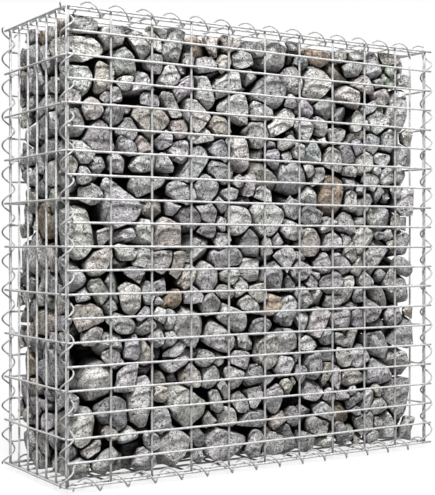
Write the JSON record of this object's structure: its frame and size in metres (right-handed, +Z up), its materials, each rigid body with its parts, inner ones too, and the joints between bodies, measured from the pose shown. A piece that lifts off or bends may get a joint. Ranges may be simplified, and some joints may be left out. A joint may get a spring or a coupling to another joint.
{
  "type": "gabion wall",
  "caption": "Free-standing gabion wall: a laced welded-wire mesh basket filled with loose crushed stone.",
  "frame": {"origin": "on the ground, at the middle of the wall's footprint, under the lowest turns of the base binders", "axes": "+Z up, +X along the wall, +Y through the wall from its front to its back"},
  "size_m": [1.0386, 0.348, 1.0285],
  "materials": {
    "mesh_wire": "satin",
    "binder_wire": "satin",
    "stone": "matte"
  },
  "bodies": {
    "root": {"back_left_corner_binder": "binder_wire", "back_mesh_panel": "mesh_wire", "back_right_corner_binder": "binder_wire", "base_mesh_panel": "mesh_wire", "bottom_back_edge_binder": "binder_wire", "bottom_front_edge_binder": "binder_wire", "front_left_corner_binder": "binder_wire", "front_mesh_panel": "mesh_wire", "front_right_corner_binder": "binder_wire", "left_mesh_panel": "mesh_wire", "lid_mesh_panel": "mesh_wire", "right_mesh_panel": "mesh_wire", "stone_course_01": "stone", "stone_course_02": "stone", "stone_course_03": "stone", "stone_course_04": "stone", "stone_course_05": "stone", "stone_course_06": "stone", "stone_course_07": "stone", "stone_course_08": "stone", "stone_course_09": "stone", "stone_course_10": "stone", "stone_course_11": "stone", "stone_course_12": "stone", "stone_course_13": "stone", "stone_course_14": "stone", "top_back_edge_binder": "binder_wire", "top_front_edge_binder": "binder_wire"}
  },
  "joints": []
}
